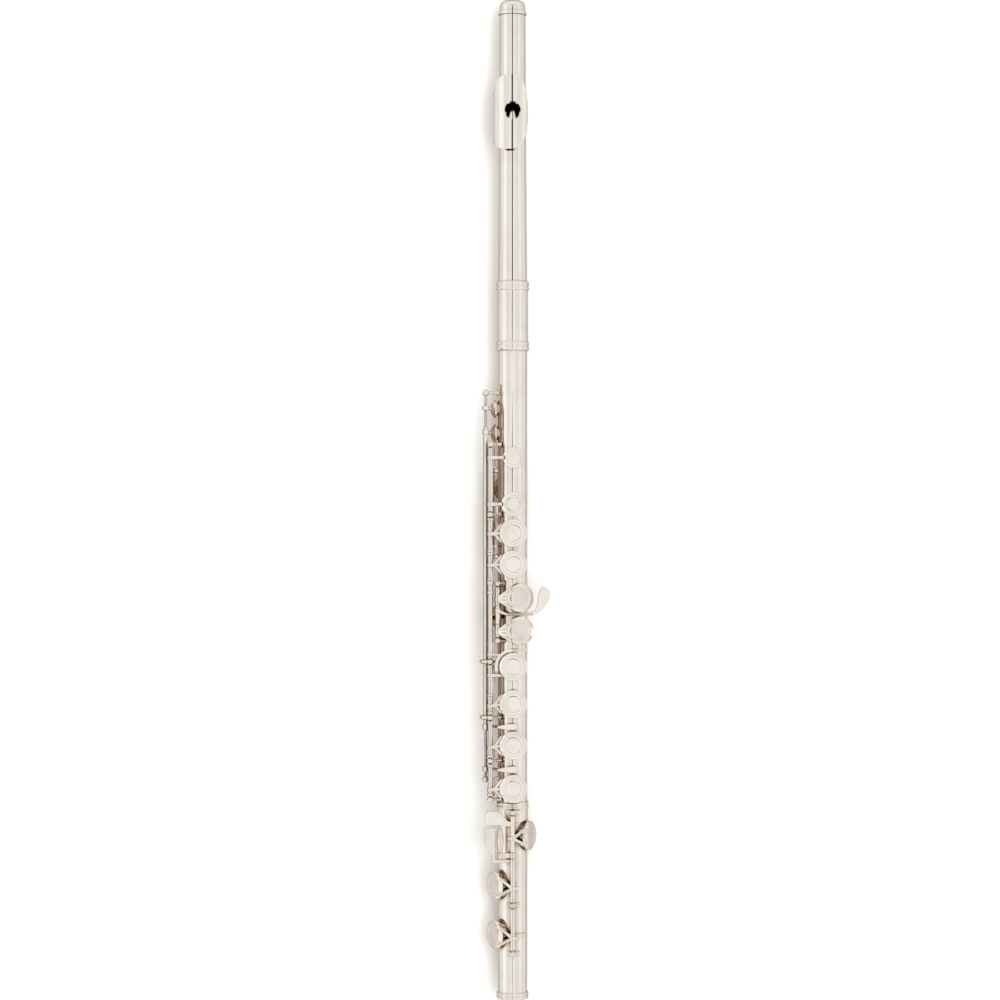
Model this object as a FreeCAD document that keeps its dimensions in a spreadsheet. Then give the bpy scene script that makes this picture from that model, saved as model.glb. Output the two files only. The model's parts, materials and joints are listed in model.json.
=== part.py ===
import FreeCAD, Part
import math
import os
import re

import Sketcher

# Concert flute (closed-hole, C foot), lying as it is played with the keys up.
# Origin: centre of the open bore at the foot end. +X leaves the foot end, +Z is
# through the key cups, -Y is the player's side, where the rods are.
# "along" is always the distance from the foot end towards the crown (-X).
# Angles around the tube are measured from the top, positive away from the player.
# Every key is built shut on its tone hole and then swung open about its rod.

DIMS = {
    # main tube
    "tube_radius": 9.9,
    "bore_radius": 9.5,
    # foot joint
    "end_bead_along": 4.9,
    "socket_start": 120.2,
    "socket_shoulder": 120.8,
    "socket_end": 133.4,
    "socket_radius": 10.35,
    "socket_bead_start": 128.6,
    "bead_radius": 10.9,
    "tenon_clearance": 0.05,
    # body
    "body_start": 121.5,
    "body_end": 443.0,
    "barrel_start": 438.0,
    "barrel_end": 485.0,
    "barrel_radius": 10.45,
    "barrel_bead_radius": 11.3,
    "barrel_bead_width": 6.4,
    # head joint
    "tenon_end": 446.0,
    "embouchure_along": 599.0,
    "head_end": 665.0,
    "head_radius_tenon": 9.85,
    "head_radius_barrel": 9.82,
    "head_radius_lip": 9.0,
    "head_radius_crown": 8.8,
    "head_wall": 0.4,
    "lip_start": 573.2,
    "lip_length": 49.6,
    "lip_inner_radius": 13.2,
    "lip_outer_radius": 14.2,
    "lip_near_angle": -72.0,
    "lip_far_angle": 48.0,
    "hole_half_length": 6.15,
    "hole_half_width": 5.4,
    "riser_wall": 1.3,
    # crown and stopper
    "crown_start": 665.2,
    "crown_tip": 675.0,
    "crown_bead_radius": 9.5,
    "crown_body_radius": 8.8,
    "crown_bead_width": 2.3,
    "crown_fillet": 4.2,
    "stopper_screw_radius": 2.0,
    "stopper_plate_radius": 8.35,
    "stopper_start": 616.3,
    "stopper_plate_width": 2.0,
    "stopper_cork_length": 16.0,
    "stopper_screw_end": 670.4,
    "crown_hole_end": 671.6,
    "running_clearance": 0.05,
    # tone holes, cups and pads
    "rim_height": 11.2,
    "hole_wall": 0.6,
    "rim_roll": 0.42,
    "pad_gap": 0.1,
    "pad_proud": 0.5,
    "pad_thickness": 1.7,
    "cup_height": 2.5,
    "cup_shoulder": 1.1,
    "cup_step": 0.5,
    "cup_skirt": 0.55,
    "cup_roundness": 0.35,
    "stack_tilt": 3.5,
    "g_tilt": 25.0,
    "trill_tilt": -81.0,
    "gsharp_tilt": -137.0,
    "thumb_tilt": -160.0,
    "foot_far_tilt": 66.0,
    "foot_near_tilt": -66.0,
    "stack_cup_radius": 9.5,
    "stack_hole_radius": 7.2,
    "small_cup_radius": 7.0,
    "small_hole_radius": 3.6,
    "touch_cup_radius": 8.1,
    "trill_cup_radius": 6.0,
    "trill_hole_radius": 3.9,
    "thumb_cup_radius": 8.6,
    "thumb_hole_radius": 6.4,
    "gsharp_cup_radius": 8.6,
    "gsharp_hole_radius": 6.6,
    "foot_cup_radius": 9.9,
    "foot_hole_radius": 7.9,
    # positions of the cups along the tube
    "csharp_along": 365.7,
    "first_touch_along": 334.4,
    "bflat_along": 315.0,
    "a_along": 293.9,
    "upper_g_along": 271.4,
    "lower_g_along": 249.3,
    "fsharp_along": 225.2,
    "f_along": 200.1,
    "e_along": 172.3,
    "d_along": 143.2,
    "dsharp_trill_along": 398.8,
    "d_trill_along": 382.3,
    "thumb_along": 345.0,
    "gsharp_along": 258.0,
    "eflat_along": 110.8,
    "low_csharp_along": 77.3,
    "low_c_along": 44.2,
    # rods and hinge tubes
    "steel_radius": 1.0,
    "hinge_radius": 1.75,
    "collar_radius": 2.15,
    "trill_hinge_radius": 1.6,
    "foot_hinge_radius": 1.6,
    "stack_rod_y": -15.0,
    "stack_rod_z": 11.5,
    "trill_rod_y": -18.2,
    "trill_rod_z": 8.0,
    "g_rod_y": -10.1,
    "g_rod_z": 11.6,
    "thumb_rod_y": -14.0,
    "thumb_rod_z": -2.5,
    "foot_rod_y": 0.0,
    "foot_rod_z": 12.6,
    # posts and ribs
    "ball_radius": 2.25,
    "post_neck": 0.8,
    "post_foot": 1.9,
    "post_flare": 3.2,
    "double_half_length": 4.6,
    "double_half_depth": 2.75,
    "double_half_width": 1.75,
    "double_tilt": 23.0,
    "rib_radius": 10.6,
    "rib_near_angle": -66.0,
    "rib_far_angle": -52.5,
    "rib_start": 134.2,
    "rib_end": 415.0,
    # how far each kind of key stands open, in degrees
    "stack_opening": 8.0,
    "thumb_opening": 7.0,
    "foot_opening": 7.0,
    "lever_opening": 5.0,
    "shut": 0.0,
    "touch_tilt": 5.0,
    # arms and touches
    "curl_radius": 10.1,
    "curl_width": 1.9,
    "curl_thickness": 1.3,
    "curl_height": 12.2,
    "arm_root": 1.5,
    "arm_tip": 0.95,
    "arm_height": 12.9,
    "plate_thickness": 1.5,
    "paddle_height": 11.6,
    "paddle_roundness": 0.55,
    "spring_radius": 0.25,
    # roller of the low C key
    "roller_start": 101.0,
    "roller_end": 116.2,
    "roller_middle_radius": 2.2,
    "roller_end_radius": 1.3,
    "roller_pin_radius": 0.5,
    "roller_y": -8.5,
    "roller_z": 12.9,
}

doc = FreeCAD.newDocument("ConcertFlute")
sheet = doc.addObject("Spreadsheet::Sheet", "dims")
for row, (alias, number) in enumerate(DIMS.items(), start=1):
    sheet.set(f"A{row}", alias)
    sheet.set(f"B{row}", str(number))
    sheet.setAlias(f"B{row}", alias)
doc.recompute()

nodes = {}


# ---- formulas and placements -------------------------------------------------

def formula(text):
    """Text in which each alias is a reference to the sheet."""
    return re.sub(r"[a-z_]+", lambda word: f"dims.{word[0]}" if word[0] in DIMS else word[0], str(text))


def value(text):
    """The number that a formula gives."""
    return float(sheet.evalExpression(formula(text)))


def bind(thing, **properties):
    """Tie properties to formulas; double underscores stand for dots."""
    for name, text in properties.items():
        thing.setExpression(name.replace("__", "."), formula(text))
    return thing


def place(thing, along, y=0, z=0, turn=None):
    """Put an object's own origin at a point of the flute, turned as told."""
    if turn is not None:
        thing.Placement = FreeCAD.Placement(FreeCAD.Vector(), turn)
    return bind(thing, Placement__Base__x=f"-({along})", Placement__Base__y=y, Placement__Base__z=z)


def around(radius, angle):
    """Formulas for y and z at a radius and an angle from the top of the tube."""
    return f"({radius})*sin({angle})", f"({radius})*cos({angle})"


def outward(angle):
    """Rotation that sends +Z outward from the tube at an angle from its top."""
    return FreeCAD.Rotation(FreeCAD.Vector(1, 0, 0), -value(angle))


TOWARD_HEAD = FreeCAD.Rotation(FreeCAD.Vector(0, 1, 0), -90)


# ---- simple solids -----------------------------------------------------------

def bar(name, start, end, radius, y=0, z=0):
    """Round bar parallel to the tube."""
    cylinder = doc.addObject("Part::Cylinder", name)
    bind(cylinder, Radius=radius, Height=f"({end})-({start})")
    return place(cylinder, start, y, z, TOWARD_HEAD)


def plug(name, along, angle, low, high, radius):
    """Round solid standing outward from the tube's axis, from one height to another."""
    cylinder = doc.addObject("Part::Cylinder", name)
    bind(cylinder, Radius=radius, Height=f"({high})-({low})")
    return place(cylinder, along, *around(low, angle), outward(angle))


def taper(name, start, end, start_radius, end_radius):
    """Round tapered arm between two points (along, y, z)."""
    first = FreeCAD.Vector(-value(start[0]), value(start[1]), value(start[2]))
    last = FreeCAD.Vector(-value(end[0]), value(end[1]), value(end[2]))
    cone = doc.addObject("Part::Cone", name)
    squares = [f"(({b})-({a}))^2" for a, b in zip(start, end)]
    bind(cone, Radius1=start_radius, Radius2=end_radius, Height="sqrt(" + "+".join(squares) + ")")
    return place(cone, *start, FreeCAD.Rotation(FreeCAD.Vector(0, 0, 1), last - first))


def ball(name, point, radius):
    """Ball at a point (along, y, z)."""
    sphere = doc.addObject("Part::Sphere", name)
    bind(sphere, Radius=radius)
    return place(sphere, *point)


def bead(name, along, ring_radius, roll_radius):
    """Rounded hoop around the tube."""
    torus = doc.addObject("Part::Torus", name)
    bind(torus, Radius1=ring_radius, Radius2=roll_radius)
    return place(torus, along, 0, 0, TOWARD_HEAD)


def hoop_sector(name, start, end, inner, outer, from_angle, to_angle):
    """Curved strip round the tube between two radii and two angles."""
    outside = bar(name + "_outside", start, end, outer)
    spin = FreeCAD.Rotation(FreeCAD.Vector(0, 0, 1), value(from_angle))
    place(outside, start, 0, 0, TOWARD_HEAD.multiply(spin))
    bind(outside, Angle=f"({to_angle})-({from_angle})")
    inside = bar(name + "_inside", f"({start})-1", f"({end})+1", inner)
    return cut(name + "_strip", outside, [inside])


def fuse(name, parts):
    """Union of several solids."""
    if len(parts) == 1:
        return parts[0]
    union = doc.addObject("Part::MultiFuse", name)
    union.Shapes = parts
    return union


def cut(name, base, tools):
    """A solid less several others."""
    result = doc.addObject("Part::Cut", name)
    result.Base = base
    result.Tool = fuse(name + "_tools", tools)
    return result


def group(name, parts):
    """Several separate solids that share one node."""
    compound = doc.addObject("Part::Compound", name)
    compound.Links = parts
    return compound


def keep(name, thing):
    """Make an object a sub-part of its own."""
    thing.Label = name
    nodes[name] = thing
    return thing


# ---- sketched solids ---------------------------------------------------------

def sketch_on(body, role, name, corners):
    """Closed outline of straight sides whose corners are tied to formulas."""
    plane = next(item for item in body.Origin.OriginFeatures if item.Role == role)
    sketch = body.newObject("Sketcher::SketchObject", name)
    sketch.AttachmentSupport = [(plane, "")]
    sketch.MapMode = "FlatFace"
    points = [FreeCAD.Vector(value(x), value(y), 0) for x, y in corners]
    for index, point in enumerate(points):
        sketch.addGeometry(Part.LineSegment(point, points[(index + 1) % len(points)]))
    for index in range(len(points)):
        follower = (index + 1) % len(points)
        sketch.addConstraint(Sketcher.Constraint("Coincident", index, 2, follower, 1))
    for index, texts in enumerate(corners):
        for kind, axis, text in zip(("DistanceX", "DistanceY"), (-2, -1), texts):
            pin_corner(sketch, index, kind, axis, text)
    return sketch


def pin_corner(sketch, index, kind, axis, text):
    """Fix one coordinate of a corner: on the axis, or at a distance from it."""
    number = value(text)
    if abs(number) < 1e-9:
        sketch.addConstraint(Sketcher.Constraint("PointOnObject", index, 1, axis))
        return
    place_in_list = sketch.addConstraint(Sketcher.Constraint(kind, -1, 1, index, 1, number))
    sketch.setExpression(f"Constraints[{place_in_list}]", formula(text))


def edges_on_circle(shape, x, radius):
    """Names of the circular edges about the X axis at a place and radius."""
    names = []
    for index, edge in enumerate(shape.Edges, start=1):
        curve = edge.Curve
        if not isinstance(curve, Part.Circle):
            continue
        if abs(curve.Center.x - x) < 1e-6 and abs(curve.Radius - radius) < 1e-6:
            names.append(f"Edge{index}")
    return names


def turned(name, corners, rounded=(), roundness="cup_roundness"):
    """Solid turned about its own X axis from (distance, radius) corners."""
    body = doc.addObject("PartDesign::Body", name)
    outline = sketch_on(body, "XY_Plane", name + "_outline", corners)
    turn = body.newObject("PartDesign::Revolution", name + "_turn")
    turn.Profile = outline
    turn.ReferenceAxis = (outline, ["H_Axis"])
    turn.Angle = 360
    doc.recompute()
    edges = []
    for x, radius in rounded:
        edges += edges_on_circle(turn.Shape, value(x), value(radius))
    if edges:
        fillet = body.newObject("PartDesign::Fillet", name + "_rounding")
        fillet.Base = (turn, edges)
        bind(fillet, Radius=roundness)
    return body


def plate(name, corners, low, thickness, tilt=0, pivot=0):
    """Touch plate cut to an outline seen from above, softened and tilted about a line at y = pivot."""
    body = doc.addObject("PartDesign::Body", name)
    outline = sketch_on(body, "XY_Plane", name + "_outline", [(f"-({along})", y) for along, y in corners])
    pad = body.newObject("PartDesign::Pad", name + "_pad")
    pad.Profile = outline
    bind(pad, Length=thickness)
    doc.recompute()
    top = [f"Edge{index}" for index, edge in enumerate(pad.Shape.Edges, start=1)
           if min(vertex.Z for vertex in edge.Vertexes) > value(thickness) - 1e-6]
    fillet = body.newObject("PartDesign::Fillet", name + "_rounding")
    fillet.Base = (pad, top)
    bind(fillet, Radius="paddle_roundness")
    body.Placement = FreeCAD.Placement(FreeCAD.Vector(), FreeCAD.Rotation(FreeCAD.Vector(1, 0, 0), 1))
    return bind(body, Placement__Rotation__Angle=tilt, Placement__Base__y=f"({pivot})*(1-cos({tilt}))",
                Placement__Base__z=f"{low}-({pivot})*sin({tilt})")


# ---- tone holes --------------------------------------------------------------

STACK_KEYS = ("bflat", "a", "fsharp", "f", "e", "d")

BODY_HOLES = {f"{note}_hole": (f"{note}_along", "stack_tilt", "stack_hole_radius") for note in STACK_KEYS}
BODY_HOLES.update({
    "csharp_hole": ("csharp_along", "stack_tilt", "small_hole_radius"),
    "upper_g_hole": ("upper_g_along", "g_tilt", "stack_hole_radius"),
    "lower_g_hole": ("lower_g_along", "g_tilt", "stack_hole_radius"),
    "gsharp_hole": ("gsharp_along", "gsharp_tilt", "gsharp_hole_radius"),
    "thumb_hole": ("thumb_along", "thumb_tilt", "thumb_hole_radius"),
    "d_trill_hole": ("d_trill_along", "trill_tilt", "trill_hole_radius"),
    "dsharp_trill_hole": ("dsharp_trill_along", "trill_tilt", "trill_hole_radius"),
})

FOOT_HOLES = {
    "eflat_hole": ("eflat_along", "foot_far_tilt", "foot_hole_radius"),
    "low_csharp_hole": ("low_csharp_along", "foot_near_tilt", "foot_hole_radius"),
    "low_c_hole": ("low_c_along", "foot_near_tilt", "foot_hole_radius"),
}


def chimney(name, along, tilt, hole_radius):
    """Raised wall of a tone hole with its rolled rim."""
    wall = plug(name + "_wall", along, tilt, 0, "rim_height-rim_roll", f"{hole_radius}+hole_wall")
    roll = doc.addObject("Part::Torus", name + "_roll")
    bind(roll, Radius1=f"{hole_radius}+rim_roll", Radius2="rim_roll")
    place(roll, along, *around("rim_height-rim_roll", tilt), outward(tilt))
    return [wall, roll]


def tube_with_holes(name, shell, bores, holes):
    """Tube with a chimney and an opening for every tone hole."""
    raised = [shell]
    openings = list(bores)
    for hole, (along, tilt, radius) in holes.items():
        raised += chimney(hole, along, tilt, radius)
        openings.append(plug(hole + "_opening", along, tilt, 0, "rim_height+1", radius))
    return keep(name, cut(name, fuse(name + "_raised", raised), openings))


# ---- tubes -------------------------------------------------------------------

def beads(name, start, end, radius):
    """Two rounded beads side by side with a groove between them."""
    roll = f"(({end})-({start}))/4"
    core = bar(name + "_core", f"({start})+{roll}*0.4", f"({end})-{roll}*0.4", f"{radius}-0.4")
    return [core] + [bead(f"{name}_bead_{side}", f"({start})+{roll}*{1 + 2 * side}", f"{radius}-{roll}", roll)
                     for side in range(2)]


def make_body_tubes():
    """Body tube, barrel and the rib that carries the posts."""
    shell = bar("body_shell", "body_start", "body_end", "tube_radius")
    bore = bar("body_bore", "body_start-1", "body_end+1", "bore_radius")
    tube_with_holes("body_tube", shell, [bore], BODY_HOLES)

    sleeve = bar("barrel_sleeve", "barrel_start", "barrel_end", "barrel_radius")
    pieces = [sleeve]
    for end, start in (("foot", "barrel_start"), ("head", "barrel_end-barrel_bead_width")):
        pieces += beads(f"barrel_{end}", start, f"{start}+barrel_bead_width", "barrel_bead_radius")
    hollow = bar("barrel_hollow", "barrel_start-1", "barrel_end+1", "tube_radius")
    keep("barrel", cut("barrel", fuse("barrel_solid", pieces), [hollow]))

    strip = hoop_sector("post_rib", "rib_start", "rib_end", "tube_radius", "rib_radius",
                        "rib_near_angle", "rib_far_angle")
    clear = [plug(f"{hole}_relief", along, tilt, 0, "rim_height", f"{radius}+hole_wall+0.05")
             for hole, (along, tilt, radius) in BODY_HOLES.items()]
    keep("post_rib", cut("post_rib", strip, clear))


def make_foot_tubes():
    """Foot joint with its socket and the two beaded rings."""
    shell = fuse("foot_shell", [bar("foot_outside", 0, "socket_start+0.5", "tube_radius"),
                                bar("foot_socket", "socket_start", "socket_end", "socket_radius")])
    bores = [bar("foot_bore", -1, "socket_end", "bore_radius"),
             bar("socket_bore", "socket_shoulder", "socket_end+1", "tube_radius+tenon_clearance")]
    tube_with_holes("foot_tube", shell, bores, FOOT_HOLES)
    beaded_ring("foot_end_ring", 0, "end_bead_along", "tube_radius")
    beaded_ring("foot_socket_ring", "socket_bead_start", "socket_end", "socket_radius")


def beaded_ring(name, start, end, inner):
    """Ring of two rounded beads."""
    hollow = bar(name + "_hollow", f"({start})-1", f"({end})+1", inner)
    keep(name, cut(name, fuse(name + "_solid", beads(name, start, end, "bead_radius")), [hollow]))


def embouchure_block(name, low, high, wall):
    """Oval block along the embouchure hole's direction."""
    oval = doc.addObject("Part::Ellipse", name + "_oval")
    bind(oval, MajorRadius=f"hole_half_length+({wall})", MinorRadius=f"hole_half_width+({wall})")
    place(oval, "embouchure_along", 0, low)
    block = doc.addObject("Part::Extrusion", name)
    block.Base = oval
    block.DirMode = "Custom"
    block.Dir = FreeCAD.Vector(0, 0, 1)
    block.Solid = True
    return bind(block, LengthFwd=f"({high})-({low})")


def make_head_joint():
    """Tapered head tube, riser and lip plate, all pierced by the embouchure hole."""
    outside = [("-tenon_end", "head_radius_tenon"), ("-barrel_end", "head_radius_barrel"),
               ("-embouchure_along", "head_radius_lip"), ("-head_end", "head_radius_crown")]
    inside = [(x, f"{radius}-head_wall") for x, radius in reversed(outside)]
    tube = turned("head_taper", outside + inside)
    solid = turned("head_core", outside + [("-head_end", 0), ("-tenon_end", 0)])
    keep("head_tube", cut("head_tube", tube, [embouchure_block("head_hole", 5, 15, 0)]))

    riser = doc.addObject("Part::Common", "riser_trimmed")
    riser.Base = embouchure_block("riser_wall_block", 7, "lip_inner_radius+1", "riser_wall")
    riser.Tool = bar("lip_underside", "lip_start", "lip_start+lip_length", "lip_inner_radius")
    hole = embouchure_block("riser_hole", 5, 15, 0)
    keep("embouchure_riser", cut("embouchure_riser", riser, [solid, hole]))

    strip = hoop_sector("lip", "lip_start", "lip_start+lip_length", "lip_inner_radius",
                        "lip_outer_radius", "lip_near_angle", "lip_far_angle")
    common = doc.addObject("Part::Common", "lip_trimmed")
    common.Base = strip
    common.Tool = lip_outline()
    keep("lip_plate", cut("lip_plate", common, [embouchure_block("lip_hole", 5, 20, 0)]))


def lip_outline():
    """Rounded outline of the lip plate seen from above, as a tall block."""
    corners = [("573.2", "-7"), ("574.6", "-10.6"), ("579.0", "-13.6"), ("611.0", "-13.6"),
               ("620.6", "-10.8"), ("622.8", "-6.0"), ("622.8", "2.0"), ("620.0", "6.4"),
               ("613.0", "9.4"), ("599.0", "10.6"), ("584.0", "9.6"), ("576.0", "6.0"), ("573.2", "1.0")]
    body = doc.addObject("PartDesign::Body", "lip_outline")
    outline = sketch_on(body, "XY_Plane", "lip_outline_sketch", [(f"-{along}", y) for along, y in corners])
    pad = body.newObject("PartDesign::Pad", "lip_outline_pad")
    pad.Profile = outline
    bind(pad, Length="lip_outer_radius+1")
    return body


def make_crown_and_stopper():
    """Crown, and the stopper that its screw draws along the head joint."""
    hole_radius = "stopper_screw_radius+running_clearance"
    corners = [("-crown_start", hole_radius), ("-crown_start", "crown_bead_radius"),
               ("-(crown_start+crown_bead_width)", "crown_bead_radius"),
               ("-(crown_start+crown_bead_width)", "crown_body_radius"),
               ("-crown_tip", "crown_body_radius"), ("-crown_tip", 0),
               ("-crown_hole_end", 0), ("-crown_hole_end", hole_radius)]
    keep("crown", turned("crown", corners, [("-crown_tip", "crown_body_radius")], "crown_fillet"))

    cork_start = "stopper_start+stopper_plate_width"
    cork_end = f"{cork_start}+stopper_cork_length"
    screw = bar("stopper_rod", "stopper_start", "stopper_screw_end", "stopper_screw_radius")
    disc = bar("stopper_disc", "stopper_start", cork_start, "stopper_plate_radius")
    keep("stopper_screw", fuse("stopper_screw", [screw, disc]))
    for name, start, end in (("stopper_cork", cork_start, cork_end),
                             ("stopper_washer", cork_end, f"{cork_end}+stopper_plate_width")):
        full = bar(name + "_full", start, end, "stopper_plate_radius")
        hollow = bar(name + "_hollow", f"({start})-1", f"({end})+1", "stopper_screw_radius")
        keep(name, cut(name, full, [hollow]))


# ---- posts and steels --------------------------------------------------------

def post(name, along, y, z, stand_radius, hole_radius, ball_size="ball_radius"):
    """Turned post from the tube or rib out to a ball that carries a rod."""
    reach = math.hypot(value(y), value(z))
    foot_y, foot_z = (f"({text})*{stand_radius}/{reach:.6f}" for text in (y, z))
    waist_y, waist_z = (f"({text})*({stand_radius}+post_flare)/{reach:.6f}" for text in (y, z))
    waist = (along, waist_y, waist_z)
    pieces = [taper(name + "_flare", (along, foot_y, foot_z), waist, "post_foot", "post_neck"),
              taper(name + "_stem", waist, (along, y, z), "post_neck", "post_neck+0.4"),
              ball(name + "_ball", (along, y, z), ball_size)]
    tools = [bar(name + "_hole", f"({along})-6", f"({along})+6", hole_radius, y, z)]
    return fuse(name + "_solid", pieces), tools


def simple_post(name, along, rod, stand_radius, hole_radius, ball_size="ball_radius"):
    """Post with its rod's hole bored."""
    solid, tools = post(name, along, f"{rod}_rod_y", f"{rod}_rod_z", stand_radius, hole_radius, ball_size)
    return cut(name, solid, tools)


def double_post(name, along):
    """Stack post with a long outer bead that also guides the trill rod."""
    solid, tools = post(name, along, "stack_rod_y", "stack_rod_z", "rib_radius", "steel_radius")
    bead_shape = doc.addObject("Part::Ellipsoid", name + "_bead")
    bind(bead_shape, Radius1="double_half_depth", Radius2="double_half_width", Radius3="double_half_length")
    place(bead_shape, along, "trill_rod_y+0.2", "trill_rod_z+0.5",
          FreeCAD.Rotation(FreeCAD.Vector(1, 0, 0), value("double_tilt")))
    tools.append(bar(name + "_guide", f"({along})-6", f"({along})+6", "trill_hinge_radius+running_clearance",
                     "trill_rod_y", "trill_rod_z"))
    return cut(name, fuse(name + "_pair", [solid, bead_shape]), tools)


def foot_post(index, along, hole_radius):
    """Low post over the middle of the foot joint, on a curved strap."""
    name = f"foot_post_{index}"
    stand = "socket_radius" if along > DIMS["socket_start"] else "tube_radius"
    solid, tools = post(name, along, "foot_rod_y", "foot_rod_z", stand, hole_radius, "foot_hinge_radius+0.35")
    strap = hoop_sector(name + "_strap", f"{along}-1.3", f"{along}+1.3", stand, f"{stand}+0.5", -22, 30)
    return cut(name, fuse(name + "_whole", [solid, strap]), tools)


STACK_POSTS = (374.5, 327.3, 161.8, 135.8)
DOUBLE_POSTS = (228.4, 190.8)
G_POSTS = (281.0, 242.7)
THUMB_POSTS = (357.0, 299.0)
TRILL_POSTS = (409.5, 149.0)
FOOT_POSTS = (126.8, 64.6, 32.0)


def make_posts():
    """All the posts of the body joint, then those of the foot joint."""
    turning = "steel_radius+running_clearance"
    stack = [simple_post(f"stack_post_{index}", along, "stack", "rib_radius", "steel_radius")
             for index, along in enumerate(STACK_POSTS)]
    stack += [double_post(f"double_post_{index}", along) for index, along in enumerate(DOUBLE_POSTS)]
    stack += [simple_post(f"trill_post_{index}", along, "trill", "rib_radius", turning)
              for index, along in enumerate(TRILL_POSTS)]
    keep("rod_posts", group("rod_posts", stack))
    g_posts = [simple_post(f"g_post_{index}", along, "g", "tube_radius", turning)
               for index, along in enumerate(G_POSTS)]
    keep("g_posts", group("g_posts", g_posts))
    thumb = [simple_post(f"thumb_post_{index}", along, "thumb", "tube_radius", "steel_radius")
             for index, along in enumerate(THUMB_POSTS)]
    keep("thumb_posts", group("thumb_posts", thumb))
    guard = hoop_sector("foot_guard", 42.4, 45.2, "tube_radius", "tube_radius+0.5", 8, 60)
    keep("foot_posts", group("foot_posts", [guard] + [foot_post(index, along, turning)
                                                      for index, along in enumerate(FOOT_POSTS)]))


def make_steels():
    """Fixed steels that the hinge tubes turn on, and the steels that turn with a key."""
    stack_ends = (STACK_POSTS[0], STACK_POSTS[1], DOUBLE_POSTS[0], STACK_POSTS[3])
    stack = [bar(f"stack_steel_{index}", f"{low}+0.02", f"{high}-0.02", "steel_radius",
                 "stack_rod_y", "stack_rod_z")
             for index, (high, low) in enumerate(zip(stack_ends, stack_ends[1:]))]
    keep("stack_steels", group("stack_steels", stack))
    fixed_steel("thumb_steel", "thumb", THUMB_POSTS)
    fixed_steel("g_steel", "g", G_POSTS)
    fixed_steel("trill_steel", "trill", TRILL_POSTS)
    fixed_steel("foot_steel", "foot", (FOOT_POSTS[0], FOOT_POSTS[2]))


def fixed_steel(name, rod, posts):
    """One straight steel through the balls of its two end posts."""
    keep(name, bar(name, f"{posts[1]}-1.5", f"{posts[0]}+1.5", "steel_radius",
                   f"{rod}_rod_y", f"{rod}_rod_z"))


# ---- key work ----------------------------------------------------------------

def swing(thing, rod, opening):
    """Open a key about its rod by an angle; positive lifts the far side."""
    y, z = f"{rod}_rod_y", f"{rod}_rod_z"
    thing.Placement = FreeCAD.Placement(FreeCAD.Vector(), FreeCAD.Rotation(FreeCAD.Vector(1, 0, 0), 1))
    return bind(thing, Placement__Rotation__Angle=opening,
                Placement__Base__y=f"{y}*(1-cos({opening}))+{z}*sin({opening})",
                Placement__Base__z=f"{z}*(1-cos({opening}))-{y}*sin({opening})")


def cup(name, along, tilt, radius, dished=True):
    """Key cup: low skirt, raised disc and a shallow dish in its top."""
    soft = "cup_roundness"
    corners = [(0, 0), (0, radius), (f"cup_shoulder-{soft}", radius),
               (f"cup_shoulder-{soft}*0.3", f"{radius}-{soft}*0.3"), ("cup_shoulder", f"{radius}-{soft}"),
               ("cup_height-cup_step", f"{radius}-2.0"), (f"cup_height-{soft}*0.3", f"{radius}-2.1"),
               ("cup_height", f"{radius}-2.1-{soft}")]
    if dished:
        corners += [("cup_height", f"{radius}*0.6"), ("cup_height-cup_step*0.9", f"{radius}*0.55")]
        corners += [("cup_height-cup_step*0.9", 0)]
    else:
        corners += [("cup_height", 0)]
    shell = turned(name, corners)
    seat = "rim_height+pad_gap+pad_proud"
    turn = FreeCAD.Rotation(FreeCAD.Vector(1, 0, 0), outward(tilt).multVec(FreeCAD.Vector(0, 0, 1)))
    return place(shell, along, *around(seat, tilt), turn)


def pad_recess(name, along, tilt, radius):
    """Hollow in a cup that takes its pad."""
    return plug(name, along, tilt, "rim_height", "rim_height+pad_gap+pad_thickness", f"{radius}-cup_skirt")


def pad(name, rod, along, tilt, radius, opening):
    """Felt pad that sits in a cup and stands a little proud of it."""
    disc = plug(name + "_felt", along, tilt, "rim_height+pad_gap", "rim_height+pad_gap+pad_thickness",
                f"{radius}-cup_skirt")
    return swing(group(name, [disc]), rod, opening)


def hinge(name, rod, start, end, radius="hinge_radius"):
    """Hinge tube as a solid bar; the steel's clearance is cut later."""
    return bar(name, start, end, radius, f"{rod}_rod_y", f"{rod}_rod_z")


def collar(name, rod, along, half_width=1.3, radius="collar_radius"):
    """Thicker ring where an arm leaves its hinge tube."""
    return hinge(name, rod, f"({along})-{half_width}", f"({along})+{half_width}", radius)


def finish_key(name, rod, pieces, tools, opening, span, clearance="running_clearance"):
    """Fuse a key, bore its hinge tube, hollow its cups and swing it open."""
    bore = bar(name + "_bore", f"({span[0]})-1", f"({span[1]})+1", f"steel_radius+{clearance}",
               f"{rod}_rod_y", f"{rod}_rod_z")
    solid = cut(name, fuse(name + "_solid", pieces), [bore] + tools)
    return keep(name, swing(solid, rod, opening))


def forked_arms(name, along, hub, prongs):
    """Stem from the hinge tube that forks into prongs on the cup's edge."""
    root = (hub, "stack_rod_y", "stack_rod_z")
    share = 0.3 if len(prongs) > 1 else 0
    fork = (f"({hub})*{1 - share}+({along})*{share}", "stack_rod_y+3.2", "arm_height-0.4")
    pieces = [taper(name + "_stem", root, fork, "arm_root+0.2", "arm_root-0.1"),
              ball(name + "_fork", fork, "arm_root-0.1")]
    for side, sign in prongs.items():
        tip = (f"({along})+{sign}*stack_cup_radius*0.62", "-stack_cup_radius*0.75", "arm_height+0.1")
        pieces.append(taper(f"{name}_{side}_prong", fork, tip, "arm_root-0.1", "arm_tip"))
    return pieces


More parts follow.
